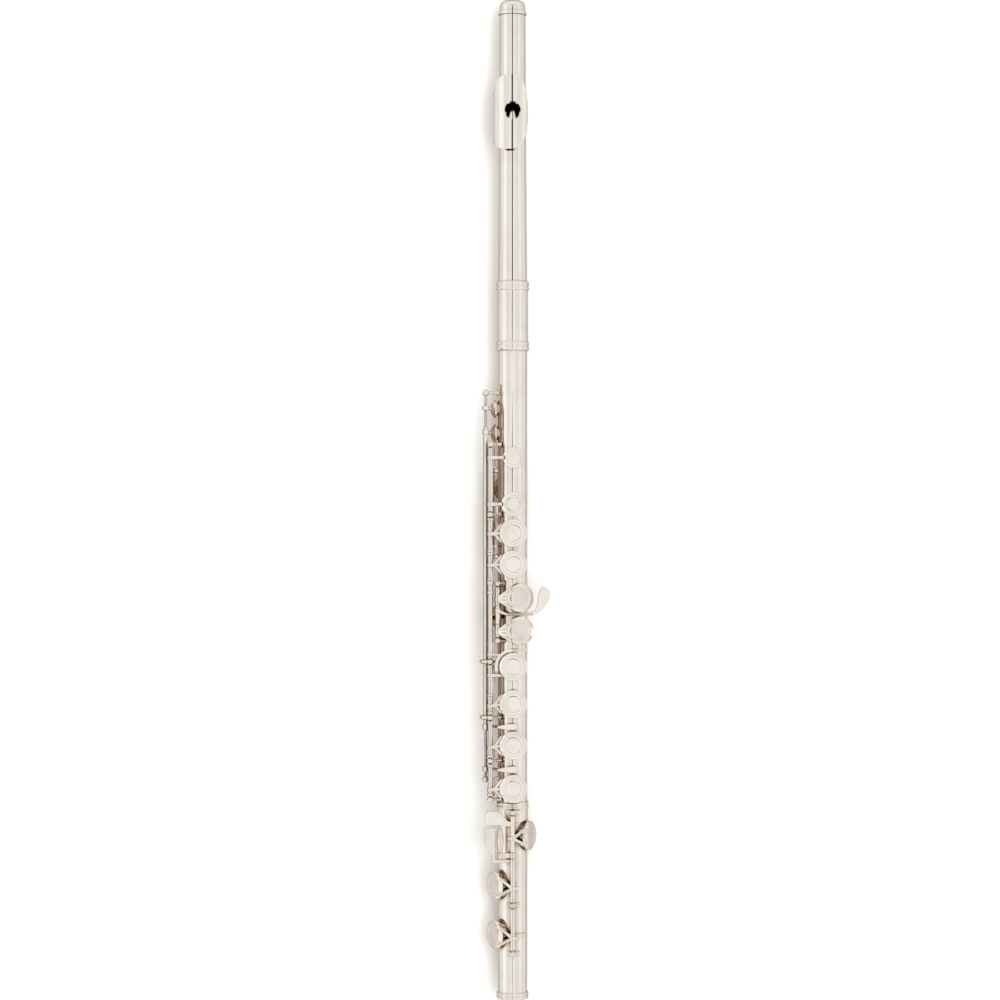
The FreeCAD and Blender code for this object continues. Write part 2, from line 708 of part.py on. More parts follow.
STACK_SPANS = {
    "bflat": (302.2, 324.9, 314.4),
    "a": (283.2, 301.9, 293.4),
    "fsharp": (205.2, 226.0, 219.4),
    "f": (193.2, 204.9, 198.6),
    "e": (164.2, 188.4, 170.8),
    "d": (138.2, 159.4, 142.4),
}


BOTH_PRONGS = {"head": 1, "foot": -1}
THREE_PRONGS = {"head": 1, "middle": 0, "foot": -1}
FSHARP_PRONGS = {"foot": -1}


def make_stack_keys():
    """The six plain keys that turn on the stack steels."""
    for note, (start, end, hub) in STACK_SPANS.items():
        name = f"{note}_key"
        along = f"{note}_along"
        pieces = [hinge(name + "_tube", "stack", start, end), collar(name + "_hub", "stack", hub),
                  cup(name + "_cup", along, "stack_tilt", "stack_cup_radius")]
        pieces += [collar(f"{name}_end_{index}", "stack", edge, 0.8)
                   for index, edge in enumerate((start + 0.8, end - 0.8))]
        pieces += forked_arms(name, along, hub, FSHARP_PRONGS if note == "fsharp" else THREE_PRONGS)
        recess = pad_recess(name + "_recess", along, "stack_tilt", "stack_cup_radius")
        finish_key(name, "stack", pieces, [recess], "stack_opening", (start, end))
        felt = pad(f"{note}_pad", "stack", along, "stack_tilt", "stack_cup_radius", "stack_opening")
        keep(f"{note}_pad", felt)


def make_csharp_key():
    """Small C sharp cup and the first finger's touch on one hinge tube."""
    span = (329.7, 372.1)
    pieces = [hinge("csharp_tube", "stack", *span)]
    cups = (("csharp_cup", "csharp_along", "small_cup_radius", False),
            ("first_touch", "first_touch_along", "touch_cup_radius", True))
    for name, along, radius, dished in cups:
        pieces.append(cup(name, along, "stack_tilt", radius, dished))
        pieces.append(collar(name + "_hub", "stack", along))
        waist = (along, f"-6.5-{radius}*0.35", "arm_height-0.2")
        root = (along, "stack_rod_y", "stack_rod_z")
        edge = (along, f"1.6-{radius}", "arm_height+0.1")
        pieces.append(taper(name + "_arm", root, waist, "arm_root+0.5", "arm_tip+0.15"))
        pieces.append(taper(name + "_flare", waist, edge, "arm_tip+0.15", "arm_root"))
    recess = pad_recess("csharp_recess", "csharp_along", "stack_tilt", "small_cup_radius")
    finish_key("csharp_key", "stack", pieces, [recess], "stack_opening", span)
    keep("csharp_pad", pad("csharp_pad", "stack", "csharp_along", "stack_tilt", "small_cup_radius",
                           "stack_opening"))
    cork = plug("touch_cork_disc", "first_touch_along", "stack_tilt", "rim_height+pad_gap+pad_proud-0.9",
                "rim_height+pad_gap+pad_proud", 2.0)
    keep("touch_cork", swing(group("touch_cork", [cork]), "stack", "stack_opening"))


def winged_arm(name, along, hub):
    """Broad arm that flares from the G rod to the side of an offset cup."""
    root = (hub, "g_rod_y", "g_rod_z")
    pieces = []
    for index, reach in enumerate((-0.72, -0.36, 0.0, 0.36, 0.72)):
        dip = math.sqrt(1 - reach * reach)
        tip = (f"({along})+stack_cup_radius*{reach}", f"5.6-stack_cup_radius*{dip:.4f}*0.9",
               f"15.2-{dip:.4f}*0.3")
        pieces.append(taper(f"{name}_wing_{index}", root, tip, "arm_root", "arm_tip-0.1"))
    return pieces


def make_g_keys():
    """Upper and lower G keys, both pinned to one turning steel."""
    pads = []
    for side, start, end, hub in (("upper", 266.2, 278.4, 270.5), ("lower", 245.3, 253.7, 248.6)):
        name = f"{side}_g_key"
        along = f"{side}_g_along"
        pieces = [hinge(name + "_tube", "g", start, end), collar(name + "_hub", "g", hub),
                  cup(name + "_cup", along, "g_tilt", "stack_cup_radius")]
        pieces += winged_arm(name, along, hub)
        recess = pad_recess(name + "_recess", along, "g_tilt", "stack_cup_radius")
        finish_key(name, "g", pieces, [recess], "stack_opening", (start, end), "0")
        pads.append(pad(f"{side}_g_pad", "g", along, "g_tilt", "stack_cup_radius", "stack_opening"))
    keep("g_pads", group("g_pads", pads))


def make_gsharp_key():
    """G sharp key: leaf touch beyond the tube, cup underneath, closed at rest."""
    span = (254.0, 265.9)
    outline = [(279.2, 20.2), (278.0, 23.2), (275.2, 25.0), (271.6, 25.0), (267.4, 23.2), (263.4, 19.8),
               (260.9, 16.2), (259.7, 12.6), (261.4, 12.2), (263.4, 15.0), (267.6, 16.4), (273.0, 17.0),
               (277.4, 18.2)]
    lever = [taper("gsharp_root", (262.8, "g_rod_y", "g_rod_z"), (260.4, -4.0, 12.9), "arm_root", 0.95),
             taper("gsharp_middle", (260.4, -4.0, 12.9), (260.5, 13.6, 12.9), 0.95, 0.95),
             ball("gsharp_knee", (260.4, -4.0, 12.9), 1.05),
             plate("gsharp_touch", outline, 12.1, "plate_thickness", "-touch_tilt", 13)]
    loop = hoop_sector("gsharp_loop", 256.6, 259.4, 14.6, 15.9, -104.5, -40)
    pieces = [hinge("gsharp_tube", "g", *span), collar("gsharp_hub", "g", 262.8),
              cup("gsharp_cup", "gsharp_along", "gsharp_tilt", "gsharp_cup_radius", False), loop]
    recess = pad_recess("gsharp_recess", "gsharp_along", "gsharp_tilt", "gsharp_cup_radius")
    finish_key("gsharp_key", "g", pieces + lever, [recess], "shut", span)
    keep("gsharp_pad", pad("gsharp_pad", "g", "gsharp_along", "gsharp_tilt", "gsharp_cup_radius",
                             "shut"))


def make_side_lever():
    """Side B flat lever: a strip that curls round the F sharp cup."""
    span = (230.9, 282.9)
    ring_out = doc.addObject("Part::Cylinder", "side_curl_outside")
    bind(ring_out, Radius="curl_radius+curl_width", Height="curl_thickness", Angle=106)
    place(ring_out, "fsharp_along", 0.2, "curl_height", FreeCAD.Rotation(FreeCAD.Vector(0, 0, 1), 180))
    ring_in = doc.addObject("Part::Cylinder", "side_curl_inside")
    bind(ring_in, Radius="curl_radius", Height="curl_thickness*2")
    place(ring_in, "fsharp_along", 0.2, "curl_height-curl_thickness/2")
    curl = cut("side_curl", ring_out, [ring_in])
    middle_height = "curl_height+curl_thickness/2"
    root = (236.25, 0.0, middle_height)
    tip = (236.8, 9.6, middle_height)
    elbow = (233.0, -7.8, middle_height)
    pieces = [hinge("side_tube", "stack", *span), collar("side_hub", "stack", 233.4), curl,
              collar("side_collar", "stack", 275.0, 1.0), collar("side_tail", "stack", 281.6, 1.2),
              taper("side_arm", (233.4, "stack_rod_y", "stack_rod_z"), elbow, 1.3, 0.7),
              taper("side_reach", root, tip, 0.7, 0.7), ball("side_root", root, 0.85),
              ball("side_tip", tip, 0.9)]
    finish_key("side_bflat_lever", "stack", pieces, [], "lever_opening", span)


def leaf_outline(along):
    """Outline of a trill touch: pointed towards the player, rounded at its tip."""
    half = [(0.6, -10.6), (1.4, -7.0), (2.1, -3.0), (2.4, 0.6), (2.0, 2.2), (0.8, 3.2)]
    return [(along - width, y) for width, y in half] + [(along + width, y) for width, y in reversed(half)]


def make_trill_keys():
    """D trill on its long tube, and D sharp trill pinned to the steel inside it."""
    trills = (("d", 184.6, 383.0, (181.9, 386.0)), ("dsharp", 155.9, 399.2, None))
    for note, touch, hub, span in trills:
        name = f"{note}_trill"
        along = f"{name}_along"
        bend = (touch, -11.4, 8.35)
        pieces = [cup(name + "_cup", along, "trill_tilt", "trill_cup_radius", False),
                  collar(name + "_hub", "trill", hub, 1.4), collar(name + "_root", "trill", touch, 1.6),
                  taper(name + "_drop", (hub, "trill_rod_y", "trill_rod_z"), (along, -13.4, 4.6), 1.3, 1.1),
                  taper(name + "_lever", (touch, "trill_rod_y", "trill_rod_z"), bend, 1.1, 0.9),
                  ball(name + "_bend", bend, 1.0),
                  taper(name + "_rise", bend, (touch, -8.8, 13.0), 0.9, 0.8),
                  plate(name + "_touch", leaf_outline(touch), 12.8, "plate_thickness", "-touch_tilt", -4)]
        recess = pad_recess(name + "_recess", along, "trill_tilt", "trill_cup_radius")
        if span:
            pieces.append(hinge(name + "_tube", "trill", *span, "trill_hinge_radius"))
            finish_key(name + "_key", "trill", pieces, [recess], "shut", span)
        else:
            bars = fuse(name + "_key_solid", pieces)
            tools = [recess, bar(name + "_bore", 140, 420, "steel_radius", "trill_rod_y", "trill_rod_z")]
            keep(name + "_key", cut(name + "_key", bars, tools))
        keep(name + "_pad", pad(name + "_pad", "trill", along, "trill_tilt", "trill_cup_radius", "shut"))


def make_thumb_keys():
    """Thumb B key under the tube, open at rest, and the thumb B flat lever beside it."""
    span = (325.3, 354.4)
    arm = hoop_sector("thumb_arm", "thumb_along-1.6", "thumb_along+1.6", 14.4, 15.6, -127.5, -102)
    touch = hoop_sector("thumb_touch", 325.6, 335.0, 14.4, 15.6, -165, -116)
    bridge = hoop_sector("thumb_bridge", 333.5, 346.0, 14.4, 15.6, -122, -112)
    pieces = [hinge("thumb_tube", "thumb", *span), arm, touch, bridge,
              cup("thumb_cup", "thumb_along", "thumb_tilt", "thumb_cup_radius", False)]
    recess = pad_recess("thumb_recess", "thumb_along", "thumb_tilt", "thumb_cup_radius")
    finish_key("thumb_b_key", "thumb", pieces, [recess], "-thumb_opening", span)
    keep("thumb_b_pad", pad("thumb_b_pad", "thumb", "thumb_along", "thumb_tilt", "thumb_cup_radius",
                              "-thumb_opening"))

    span = (301.6, 325.0)
    root = hoop_sector("thumb_bflat_root", 312.0, 316.0, 13.0, 14.2, -128, -104)
    touch = hoop_sector("thumb_bflat_touch", 310.0, 321.0, 13.6, 15.0, -160, -120)
    tail = taper("thumb_bflat_tail", (306.0, "thumb_rod_y", "thumb_rod_z"), (306.0, -12.8, 7.0), 1.2, 0.8)
    pieces = [hinge("thumb_bflat_tube", "thumb", *span), root, touch, tail]
    finish_key("thumb_bflat_lever", "thumb", pieces, [], "-thumb_opening", span)


# ---- foot joint keys ---------------------------------------------------------

def foot_cup_arms(name, along, hub, tilt, side):
    """Two prongs from the foot rod that clasp the upper edge of a tilted cup."""
    root = (hub, "foot_rod_y", "foot_rod_z")
    height = "(rim_height+pad_gap+pad_proud+1.75)"
    reach = "(foot_cup_radius*0.8)"
    y = f"{height}*sin({tilt})-{side}*{reach}*cos({tilt})"
    z = f"{height}*cos({tilt})+{side}*{reach}*sin({tilt})"
    lug = taper(name + "_lug", root, (hub, f"-{side}*3.3", "foot_rod_z+0.5"), "arm_root", "arm_tip-0.2")
    return [lug] + [taper(f"{name}_{end}_prong", root, (f"({along})+{sign}*foot_cup_radius*0.56", y, z),
                          "arm_root-0.1", "arm_tip") for end, sign in BOTH_PRONGS.items()]


def foot_cup_tools(name, tilt):
    """Pad recess of a foot cup, and the room its arms leave round the chimney's rim."""
    along = f"{name}_along"
    return [pad_recess(name + "_recess", along, tilt, "foot_cup_radius"),
            plug(name + "_relief", along, tilt, 0, "rim_height+0.3", "foot_hole_radius+hole_wall+0.5")]


def make_eflat_key():
    """E flat key: paddle on the player's side, cup on the far side, closed at rest."""
    span = (100.5, 124.5)
    outline = [(118.3, -17.8), (119.4, -18.8), (126.6, -18.8), (128.2, -17.2), (128.2, -10.6),
               (124.6, -6.2), (121.2, -3.0), (121.0, 0), (117.8, 0), (117.7, -3.0), (118.3, -9.0)]
    pieces = [hinge("eflat_tube", "foot", *span, "foot_hinge_radius"),
              collar("eflat_hub", "foot", 109.6, 1.4, "foot_hinge_radius+0.35"),
              cup("eflat_cup", "eflat_along", "foot_far_tilt", "foot_cup_radius"),
              plate("eflat_paddle", outline, "paddle_height", "plate_thickness", "-touch_tilt")]
    pieces += foot_cup_arms("eflat", "eflat_along", 109.6, "foot_far_tilt", 1)
    finish_key("eflat_key", "foot", pieces, foot_cup_tools("eflat", "foot_far_tilt"), "shut", span)
    keep("eflat_pad", pad("eflat_pad", "foot", "eflat_along", "foot_far_tilt", "foot_cup_radius",
                            "shut"))


def make_low_csharp_key():
    """Low C sharp key: quarter-round touch, long hinge tube and near-side cup."""
    span = (66.9, 95.8)
    outline = [(116.9, -18.6), (116.2, -19.3), (107.0, -19.3), (103.2, -18.0), (100.6, -15.8),
               (98.4, -14.2), (93.4, -13.8), (93.4, 0), (95.6, 0), (95.6, -11.9), (116.9, -11.4)]
    pieces = [hinge("low_csharp_tube", "foot", *span, "foot_hinge_radius"),
              collar("low_csharp_hub", "foot", 76.0, 1.4, "foot_hinge_radius+0.35"),
              cup("low_csharp_cup", "low_csharp_along", "foot_near_tilt", "foot_cup_radius"),
              plate("low_csharp_touch", outline, "paddle_height", "plate_thickness", "-touch_tilt", -8.5)]
    pieces += foot_cup_arms("low_csharp", "low_csharp_along", 76.0, "foot_near_tilt", -1)
    tools = foot_cup_tools("low_csharp", "foot_near_tilt")
    finish_key("low_csharp_key", "foot", pieces, tools, "-foot_opening", span)
    felt = pad("low_csharp_pad", "foot", "low_csharp_along", "foot_near_tilt", "foot_cup_radius",
               "-foot_opening")
    keep("low_csharp_pad", felt)


def make_low_c_key():
    """Low C key, pinned to the steel at both ends, with its touch roller."""
    outline = [(96.3, -10.6), (99.9, -10.6), (99.9, 0), (96.3, 0)]
    pieces = [hinge("low_c_tube", "foot", 34.9, 62.0, "foot_hinge_radius"),
              collar("low_c_hub", "foot", 42.6, 1.4, "foot_hinge_radius+0.35"),
              cup("low_c_cup", "low_c_along", "foot_near_tilt", "foot_cup_radius")]
    pieces += foot_cup_arms("low_c", "low_c_along", 42.6, "foot_near_tilt", -1)
    tools = foot_cup_tools("low_c", "foot_near_tilt")
    finish_key("low_c_key", "foot", pieces, tools, "-foot_opening", (34.9, 62.0), "0")
    keep("low_c_pad", pad("low_c_pad", "foot", "low_c_along", "foot_near_tilt", "foot_cup_radius",
                            "-foot_opening"))

    frame = [hinge("low_c_lever_tube", "foot", 96.2, 100.1, "foot_hinge_radius"),
             plate("low_c_frame", outline, "paddle_height", "plate_thickness", "-touch_tilt", -8.5),
             bar("roller_seat", 96.6, 99.9, 1.4, "roller_y", "roller_z"),
             bar("roller_pin", 98.0, 116.9, "roller_pin_radius", "roller_y", "roller_z"),
             bar("roller_cap", 116.5, 117.3, 1.0, "roller_y", "roller_z")]
    finish_key("low_c_lever", "foot", frame, [], "-foot_opening", (96.2, 100.1), "0")

    hole = "roller_pin_radius+running_clearance"
    middle = "(roller_start+roller_end)/2"
    corners = [("-roller_start", hole), ("-roller_start", "roller_end_radius"),
               (f"-({middle})+4.2", "roller_middle_radius-0.15"),
               (f"-({middle})+1.5", "roller_middle_radius"),
               (f"-({middle})-1.5", "roller_middle_radius"),
               (f"-({middle})-4.2", "roller_middle_radius-0.15"),
               ("-roller_end", "roller_end_radius"), ("-roller_end", hole)]
    roller = place(turned("roller_spindle", corners), 0, "roller_y", "roller_z")
    whole = fuse("low_c_roller", [roller, roller_band(middle)])
    keep("low_c_roller", swing(whole, "foot", "-foot_opening"))


def roller_band(middle):
    """Plain middle band of the roller."""
    band = bar("roller_band", f"{middle}-1.4", f"{middle}+1.4", "roller_middle_radius",
               "roller_y", "roller_z")
    hole = bar("roller_band_hole", f"{middle}-2", f"{middle}+2", "roller_pin_radius+running_clearance",
               "roller_y", "roller_z")
    return cut("roller_band_ring", band, [hole])


# ---- springs -----------------------------------------------------------------

STACK_SPRINGS = ((372.6, 360.0), (325.8, 318.0), (226.4, 214.0), (163.6, 174.0), (137.6, 148.0))


def make_springs():
    """Needle springs from the posts to the hooks of the keys."""
    springs = [taper(f"stack_spring_{index}", (start, -12.6, 10.4), (end, -11.9, 9.2), "spring_radius", 0.15)
               for index, (start, end) in enumerate(STACK_SPRINGS)]
    keep("needle_springs", group("needle_springs", springs))


# ---- build and write ---------------------------------------------------------

def check_document():
    """Stop if any object failed or any sub-part isn't a sound solid."""
    for thing in doc.Objects:
        if "Invalid" in thing.State or "Error" in thing.State:
            raise RuntimeError(f"{thing.Name} failed: {thing.State}")
    for name, thing in nodes.items():
        shape = thing.Shape
        if shape.isNull() or not shape.isValid() or not shape.Solids:
            raise RuntimeError(f"{name} isn't a valid solid")


def write_parts():
    """Write each sub-part to a STEP file of its own."""
    os.makedirs("parts", exist_ok=True)
    for name, thing in nodes.items():
        thing.Shape.exportStep(f"parts/{name}.step")


make_body_tubes()
make_foot_tubes()
make_head_joint()
make_crown_and_stopper()
make_posts()
make_steels()
make_stack_keys()
make_csharp_key()
make_g_keys()
make_gsharp_key()
make_side_lever()
make_trill_keys()
make_thumb_keys()
make_eflat_key()
make_low_csharp_key()
make_low_c_key()
make_springs()
doc.recompute()
check_document()
write_parts()
print(len(nodes), "sub-parts")
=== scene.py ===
import json
import math

import bmesh
import bpy
import numpy as np
from mathutils import Matrix, Vector


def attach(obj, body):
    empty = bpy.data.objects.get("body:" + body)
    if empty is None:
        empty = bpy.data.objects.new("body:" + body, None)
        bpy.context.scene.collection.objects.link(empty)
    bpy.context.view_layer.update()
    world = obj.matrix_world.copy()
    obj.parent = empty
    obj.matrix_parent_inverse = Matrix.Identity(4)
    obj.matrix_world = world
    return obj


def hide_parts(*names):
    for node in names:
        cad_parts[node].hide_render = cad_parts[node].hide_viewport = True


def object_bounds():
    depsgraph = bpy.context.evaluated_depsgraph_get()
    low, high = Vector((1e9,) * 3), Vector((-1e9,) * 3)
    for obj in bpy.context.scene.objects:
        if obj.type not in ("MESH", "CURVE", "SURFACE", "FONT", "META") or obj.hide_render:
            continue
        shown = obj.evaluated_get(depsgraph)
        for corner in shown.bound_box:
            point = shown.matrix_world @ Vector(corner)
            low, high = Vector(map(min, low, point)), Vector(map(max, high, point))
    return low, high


# Concert flute, in metres, in the frame of the CAD model: origin in the foot end's
# bore, +X out of the foot end, +Z through the key cups, -Y towards the player.

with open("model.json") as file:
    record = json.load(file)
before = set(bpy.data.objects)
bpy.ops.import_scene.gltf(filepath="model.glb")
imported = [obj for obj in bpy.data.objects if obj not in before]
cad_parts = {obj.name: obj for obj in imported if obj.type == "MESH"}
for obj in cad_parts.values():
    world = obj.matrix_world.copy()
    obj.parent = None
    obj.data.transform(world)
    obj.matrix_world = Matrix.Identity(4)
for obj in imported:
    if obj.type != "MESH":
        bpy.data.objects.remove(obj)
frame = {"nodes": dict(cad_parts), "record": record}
nodes = frame["nodes"]
CAD_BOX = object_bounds()

MM = 0.001


# ---- materials ---------------------------------------------------------------

def new_material(name):
    """Empty node material; returns it with its tree, shader and object coordinates."""
    material = bpy.data.materials.new(name)
    material.use_nodes = True
    tree = material.node_tree
    shader = tree.nodes["Principled BSDF"]
    coords = tree.nodes.new("ShaderNodeTexCoord").outputs["Object"]
    return material, tree, shader, coords


def noise(tree, coords, scale, detail=4.0, stretch=None):
    """Noise factor, stretched along an axis if asked."""
    if stretch:
        mapping = tree.nodes.new("ShaderNodeMapping")
        mapping.inputs["Scale"].default_value = stretch
        tree.links.new(coords, mapping.inputs["Vector"])
        coords = mapping.outputs["Vector"]
    node = tree.nodes.new("ShaderNodeTexNoise")
    node.inputs["Scale"].default_value = scale
    node.inputs["Detail"].default_value = detail
    tree.links.new(coords, node.inputs["Vector"])
    return node.outputs["Fac"]


def ramp(tree, factor, stops):
    """Colour ramp over a factor; stops are (position, colour)."""
    node = tree.nodes.new("ShaderNodeValToRGB")
    elements = node.color_ramp.elements
    while len(elements) < len(stops):
        elements.new(0.5)
    for element, (position, colour) in zip(elements, stops):
        element.position = position
        element.color = (*colour, 1.0)
    tree.links.new(factor, node.inputs["Fac"])
    return node.outputs["Color"]


def spread(tree, factor, low, high, from_low=0.3, from_high=0.7):
    """A factor mapped onto another range."""
    node = tree.nodes.new("ShaderNodeMapRange")
    node.inputs["From Min"].default_value = from_low
    node.inputs["From Max"].default_value = from_high
    node.inputs["To Min"].default_value = low
    node.inputs["To Max"].default_value = high
    tree.links.new(factor, node.inputs["Value"])
    return node.outputs["Result"]


def bump(tree, shader, height, strength, distance):
    """Bump on the shader's normal."""
    node = tree.nodes.new("ShaderNodeBump")
    node.inputs["Strength"].default_value = strength
    node.inputs["Distance"].default_value = distance
    tree.links.new(height, node.inputs["Height"])
    tree.links.new(node.outputs["Normal"], shader.inputs["Normal"])


# Painted shade with a tarnish tint: near black in tight corners and gaps, brown further out, the plain
# colour in the open.
CORNER_SHADE_AND_TARNISH = [(0.16, (0.08, 0.04, 0.03)), (0.44, (0.36, 0.22, 0.15)),
           (0.68, (0.78, 0.66, 0.57)), (0.86, (1.0, 1.0, 1.0))]
# Sockets of a colour mix node, which has others of the same names for plain numbers.
MIX_FACTOR, MIX_FIRST, MIX_SECOND, MIX_COLOUR = 0, 6, 7, 2


def darkened_by_shade_and_tarnish(tree, colour, reach):
    """Colour darkened in corners and gaps by painted shade, near black in the tightest, with a brown tarnish
    tint.
    """
    corner = tree.nodes.new("ShaderNodeAmbientOcclusion")
    corner.samples = 6
    corner.inputs["Distance"].default_value = reach
    mix = tree.nodes.new("ShaderNodeMix")
    mix.data_type = "RGBA"
    mix.blend_type = "MULTIPLY"
    mix.inputs[MIX_FACTOR].default_value = 1.0
    tree.links.new(colour, mix.inputs[MIX_FIRST])
    tree.links.new(ramp(tree, corner.outputs["AO"], CORNER_SHADE_AND_TARNISH), mix.inputs[MIX_SECOND])
    return mix.outputs[MIX_COLOUR]


def plated(name, bright, dull, smooth, rough, scratch=0.12, reach=5.0 * MM):
    """Polished silver plate: clouds of tarnish, painted shade in corners and gaps, handling haze and fine
    scratches.
    """
    material, tree, shader, coords = new_material(name)
    shader.inputs["Metallic"].default_value = 1.0
    clouds = noise(tree, coords, 70.0, 6.0)
    # Painted shade in corners and gaps darkens the plate's colour, tinted brown like tarnish.
    colour = darkened_by_shade_and_tarnish(tree, ramp(tree, clouds, [(0.36, dull), (0.56, bright)]), reach)
    tree.links.new(colour, shader.inputs["Base Color"])
    haze = noise(tree, coords, 260.0, 3.0)
    tree.links.new(spread(tree, haze, smooth, rough), shader.inputs["Roughness"])
    lines = noise(tree, coords, 900.0, 2.0, stretch=(0.25, 3.0, 3.0))
    bump(tree, shader, lines, scratch, 0.00002)
    return material


SILVER_TUBE = plated("silver_tube", (0.93, 0.91, 0.885), (0.89, 0.865, 0.83), 0.02, 0.06, 0.04)
SILVER_KEYS = plated("silver_keys", (0.93, 0.90, 0.87), (0.87, 0.83, 0.78), 0.03, 0.08, 0.03)
SILVER_FITTINGS = plated("silver_fittings", (0.91, 0.85, 0.79), (0.84, 0.75, 0.67), 0.06, 0.16, 0.08)
STEEL = plated("steel", (0.66, 0.66, 0.67), (0.52, 0.52, 0.54), 0.22, 0.38, 0.3)
SPRING = plated("spring_steel", (0.22, 0.25, 0.33), (0.12, 0.13, 0.18), 0.25, 0.4, 0.3)
BRASS = plated("brass", (0.80, 0.66, 0.36), (0.62, 0.47, 0.22), 0.2, 0.38, 0.3)


def grained(name, light, dark, scale, rough, height):
    """Matt material of two tones with a fine rough surface: cork or pad skin."""
    material, tree, shader, coords = new_material(name)
    shader.inputs["Metallic"].default_value = 0.0
    grain = noise(tree, coords, scale, 8.0)
    tree.links.new(ramp(tree, grain, [(0.35, dark), (0.62, light)]), shader.inputs["Base Color"])
    haze = noise(tree, coords, scale * 2, 3.0)
    tree.links.new(spread(tree, haze, rough, rough + 0.2), shader.inputs["Roughness"])
    bump(tree, shader, grain, 0.4, height)
    return material


CORK = grained("cork", (0.70, 0.50, 0.30), (0.36, 0.22, 0.11), 1400.0, 0.7, 0.0002)
PAD_SKIN = grained("pad_skin", (0.80, 0.62, 0.33), (0.66, 0.47, 0.22), 700.0, 0.35, 0.00006)

SLOT_MATERIALS = {
    "silver_tube": SILVER_TUBE, "silver_keys": SILVER_KEYS, "silver_fittings": SILVER_FITTINGS,
    "steel": STEEL, "spring_steel": SPRING, "brass": BRASS, "cork": CORK, "pad_skin": PAD_SKIN,
}

for part in frame["record"]["subparts"]:
    slots = nodes[part["node"]].material_slots
    for slot in slots:
        slot.material = SLOT_MATERIALS[part["material_slot"]]


# ---- mesh helpers ------------------------------------------------------------

def new_object(name, bm, material, smooth=True):
    """Object from a bmesh with one material."""
    mesh = bpy.data.meshes.new(name)
    bm.normal_update()
    bm.to_mesh(mesh)
    bm.free()
    mesh.materials.append(material)
    for polygon in mesh.polygons:
        polygon.use_smooth = smooth
    thing = bpy.data.objects.new(name, mesh)
    bpy.context.scene.collection.objects.link(thing)
    return thing


def lathe(name, profile, matrix, material, steps=64):
    """Closed solid turned about its Z axis from (radius, height) points, axis to axis."""
    bm = bmesh.new()
    rings = []
    for radius, height in profile:
        if radius < 1e-9:
            rings.append([bm.verts.new((0, 0, height))])
            continue
        turn = [2 * math.pi * step / steps for step in range(steps)]
        rings.append([bm.verts.new((radius * math.cos(angle), radius * math.sin(angle), height))
                      for angle in turn])
    for low, high in zip(rings, rings[1:]):
        for step in range(steps):
            after = (step + 1) % steps
            quad = [low[step % len(low)], low[after % len(low)],
                    high[after % len(high)], high[step % len(high)]]
            bm.faces.new(list(dict.fromkeys(quad)))
    bmesh.ops.remove_doubles(bm, verts=bm.verts, dist=1e-7)
    bmesh.ops.recalc_face_normals(bm, faces=bm.faces)
    bm.transform(matrix)
    return new_object(name, bm, material)


def body_holding(node):
    """The CAD body that carries a node."""
    groups = frame["record"]["behaviour"]["bodies"]
    return next(name for name, members in groups.items() if node in members)


# ---- pads --------------------------------------------------------------------

def discs_of(node):
    """(centre, outward axis, radius, thickness) of each round disc in a CAD node."""
    bm = bmesh.new()
    bm.from_mesh(nodes[node].data)
    bmesh.ops.remove_doubles(bm, verts=bm.verts, dist=1e-6)
    bm.verts.ensure_lookup_table()
    seen = set()
    found = []
    for start in bm.verts:
        if start in seen:
            continue
        island = []
        queue = [start]
        seen.add(start)
        while queue:
            vert = queue.pop()
            island.append(vert.co)
            for edge in vert.link_edges:
                other = edge.other_vert(vert)
                if other not in seen:
                    seen.add(other)
                    queue.append(other)
        points = np.array([list(co) for co in island])
        centre = points.mean(axis=0)
        spans = points - centre
        axis = np.linalg.svd(spans, full_matrices=False)[2][2]
        outward = np.array([0.0, centre[1], centre[2]])
        if axis @ outward < 0:
            axis = -axis
        along = spans @ axis
        radius = np.sqrt(((spans - np.outer(along, axis)) ** 2).sum(axis=1)).max()
        found.append((Vector(centre), Vector(axis), radius, along.max() - along.min()))
    bm.free()
    return found


SEAT_SHARE = 0.86
RIM_MARK = 0.06 * MM
EDGE_STEPS = 6
EDGE_RISE = 0.6
SKIN_EDGE = 0.2 * MM


def make_pad(name, node, centre, axis, radius, thickness, body):
    """Felt pad in its skin: flat seat with a softly rounded edge and a faint rim mark."""
    turn = Vector((0, 0, 1)).rotation_difference(axis).to_matrix().to_4x4()
    matrix = Matrix.Translation(centre) @ turn
    low, high = -thickness / 2, thickness / 2
    seat = radius * SEAT_SHARE
    edge = radius - seat
    profile = [(0, low), (seat * 0.9, low), (seat * 0.94, low + RIM_MARK), (seat, low)]
    for step in range(1, EDGE_STEPS + 1):
        angle = math.pi / 2 * step / EDGE_STEPS
        profile.append((seat + edge * math.sin(angle), low + edge * EDGE_RISE * (1 - math.cos(angle))))
    profile += [(radius, high - SKIN_EDGE), (radius - SKIN_EDGE, high), (0, high)]
    piece = lathe(name, profile, matrix, PAD_SKIN, 72)
    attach(piece, body)
    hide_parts(node)


for part in frame["record"]["subparts"]:
    node = part["node"]
    if part["material_slot"] != "pad_skin":
        continue
    for index, (centre, axis, radius, thickness) in enumerate(discs_of(node)):
        make_pad(f"{node}_skin_{index}", node, centre, axis, radius, thickness, body_holding(node))


